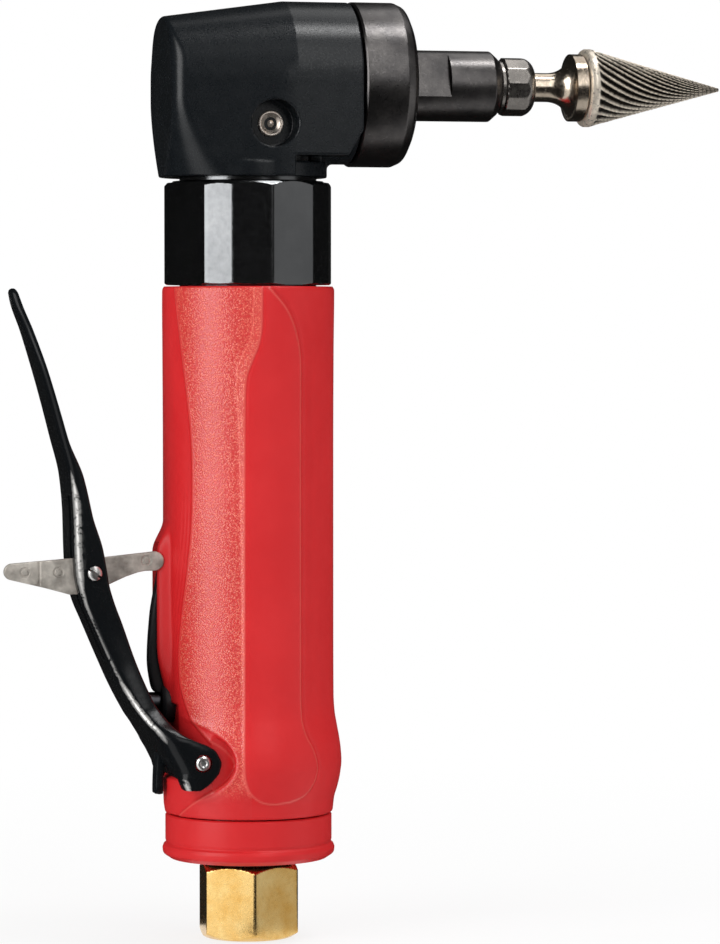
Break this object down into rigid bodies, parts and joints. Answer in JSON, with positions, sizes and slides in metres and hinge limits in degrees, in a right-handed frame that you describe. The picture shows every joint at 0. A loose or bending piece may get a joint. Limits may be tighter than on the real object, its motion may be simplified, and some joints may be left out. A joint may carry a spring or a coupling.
{
  "type": "pneumatic angle die grinder",
  "caption": "Hand-held compressed-air angle grinder: cylindrical textured grip with throttle lever, right-angle head, collet spindle and cone burr.",
  "frame": {"origin": "centre of the bounding box at the inlet's end face, the lowest point", "axes": "+Z along the handle from the air inlet to the head, +X along the spindle out of the collet, -X to the throttle lever, -Y to the side with the grease fitting"},
  "size_m": [0.1525, 0.0386, 0.1919],
  "materials": {
    "red_plastic": "spark-textured moulding, satin",
    "black_paint": "semi-gloss black coating",
    "black_plastic": "satin moulding",
    "dark_steel": "oil-blackened, turned",
    "steel": "ground",
    "bright_steel": "polished",
    "brass": "turned, satin",
    "alloy": "machined",
    "carbide": "ground carbide",
    "rubber": "matt",
    "felt": "pressed felt",
    "vane_resin": "fibre-filled resin"
  },
  "bodies": {
    "handle_and_head": {"grip_sleeve": "red_plastic", "exhaust_end_cap": "red_plastic", "guide_rib": "black_plastic", "valve_housing": "alloy", "motor_housing": "dark_steel", "coupling_collar": "black_paint", "head_housing": "black_paint", "output_collar": "black_paint", "spindle_seal": "rubber", "grease_fitting": "bright_steel", "inlet_bushing": "brass", "inlet_screen": "bright_steel", "inlet_o_ring": "rubber", "valve_bush": "steel", "valve_spring": "bright_steel", "rear_end_plate": "steel", "motor_liner": "steel", "front_end_plate": "steel", "end_plate_pin": "steel", "clamp_ring": "steel", "exhaust_silencer": "felt", "lever_pivot_pin": "bright_steel", "pinion_retainer": "steel", "rotor_rear_outer_race": "bright_steel", "rotor_front_outer_race": "bright_steel", "pinion_outer_race": "bright_steel", "spindle_rear_outer_race": "bright_steel", "spindle_front_outer_race": "bright_steel"},
    "rotor_shaft": {"rotor": "steel", "vane_1": "vane_resin", "vane_2": "vane_resin", "vane_3": "vane_resin", "vane_4": "vane_resin", "vane_5": "vane_resin", "bevel_pinion": "steel", "rotor_rear_inner_race": "bright_steel", "rotor_front_inner_race": "bright_steel", "pinion_inner_race": "bright_steel"},
    "output_spindle": {"spindle": "dark_steel", "bevel_gear": "steel", "spindle_spacer": "steel", "collet": "steel", "collet_nut": "steel", "burr_shank": "bright_steel", "burr_head": "carbide", "spindle_rear_inner_race": "bright_steel", "spindle_front_inner_race": "bright_steel"},
    "rotor_rear_cage": {"rotor_rear_balls": "bright_steel"},
    "rotor_front_cage": {"rotor_front_balls": "bright_steel"},
    "pinion_cage": {"pinion_balls": "bright_steel"},
    "spindle_rear_cage": {"spindle_rear_balls": "bright_steel"},
    "spindle_front_cage": {"spindle_front_balls": "bright_steel"},
    "throttle": {"throttle_lever": "black_paint", "lock_pin": "bright_steel", "lock_spring": "bright_steel"},
    "lock_off_plate": {"lock_lever": "steel"},
    "throttle_valve": {"valve_plunger": "steel", "valve_seal": "rubber"}
  },
  "joints": [
    {"name": "rotor_spin", "type": "hinge", "parent": "handle_and_head", "child": "rotor_shaft", "pos_m": [-0.02505, 0, 0.0958], "axis": [0, 0, 1], "continuous": true},
    {"name": "spindle_spin", "type": "hinge", "parent": "handle_and_head", "child": "output_spindle", "pos_m": [0, 0, 0.175], "axis": [1, 0, 0], "continuous": true},
    {"name": "rotor_rear_cage_spin", "type": "hinge", "parent": "handle_and_head", "child": "rotor_rear_cage", "pos_m": [-0.02505, 0, 0.0958], "axis": [0, 0, 1], "continuous": true},
    {"name": "rotor_front_cage_spin", "type": "hinge", "parent": "handle_and_head", "child": "rotor_front_cage", "pos_m": [-0.02505, 0, 0.0958], "axis": [0, 0, 1], "continuous": true},
    {"name": "pinion_cage_spin", "type": "hinge", "parent": "handle_and_head", "child": "pinion_cage", "pos_m": [-0.02505, 0, 0.0958], "axis": [0, 0, 1], "continuous": true},
    {"name": "spindle_rear_cage_spin", "type": "hinge", "parent": "handle_and_head", "child": "spindle_rear_cage", "pos_m": [0, 0, 0.175], "axis": [1, 0, 0], "continuous": true},
    {"name": "spindle_front_cage_spin", "type": "hinge", "parent": "handle_and_head", "child": "spindle_front_cage", "pos_m": [0, 0, 0.175], "axis": [1, 0, 0], "continuous": true},
    {"name": "throttle_squeeze", "type": "hinge", "parent": "handle_and_head", "child": "throttle", "pos_m": [-0.03785, 0, 0.03745], "axis": [0, 1, 0], "range_deg": [0, 14], "stiffness_Nm_per_rad": 0.5, "springref_deg": -11.46},
    {"name": "lock_fold", "type": "hinge", "parent": "throttle", "child": "lock_off_plate", "pos_m": [-0.05845, 0, 0.0756], "axis": [0, 1, 0], "range_deg": [-98, 0]},
    {"name": "valve_slide", "type": "slide", "parent": "handle_and_head", "child": "throttle_valve", "axis": [1, 0, 0], "range_m": [0, 0.0036], "deforming": ["valve_spring"]}
  ],
  "couplings": [
    {"joint": "spindle_spin", "follows": "rotor_spin", "ratio": 0.75},
    {"joint": "rotor_rear_cage_spin", "follows": "rotor_spin", "ratio": 0.388},
    {"joint": "rotor_front_cage_spin", "follows": "rotor_spin", "ratio": 0.397},
    {"joint": "pinion_cage_spin", "follows": "rotor_spin", "ratio": 0.397},
    {"joint": "spindle_rear_cage_spin", "follows": "rotor_spin", "ratio": 0.3075},
    {"joint": "spindle_front_cage_spin", "follows": "rotor_spin", "ratio": 0.3154},
    {"joint": "lock_fold", "follows": "throttle_squeeze", "ratio": -7},
    {"joint": "valve_slide", "follows": "throttle_squeeze", "m_per_rad": 0.0147}
  ]
}
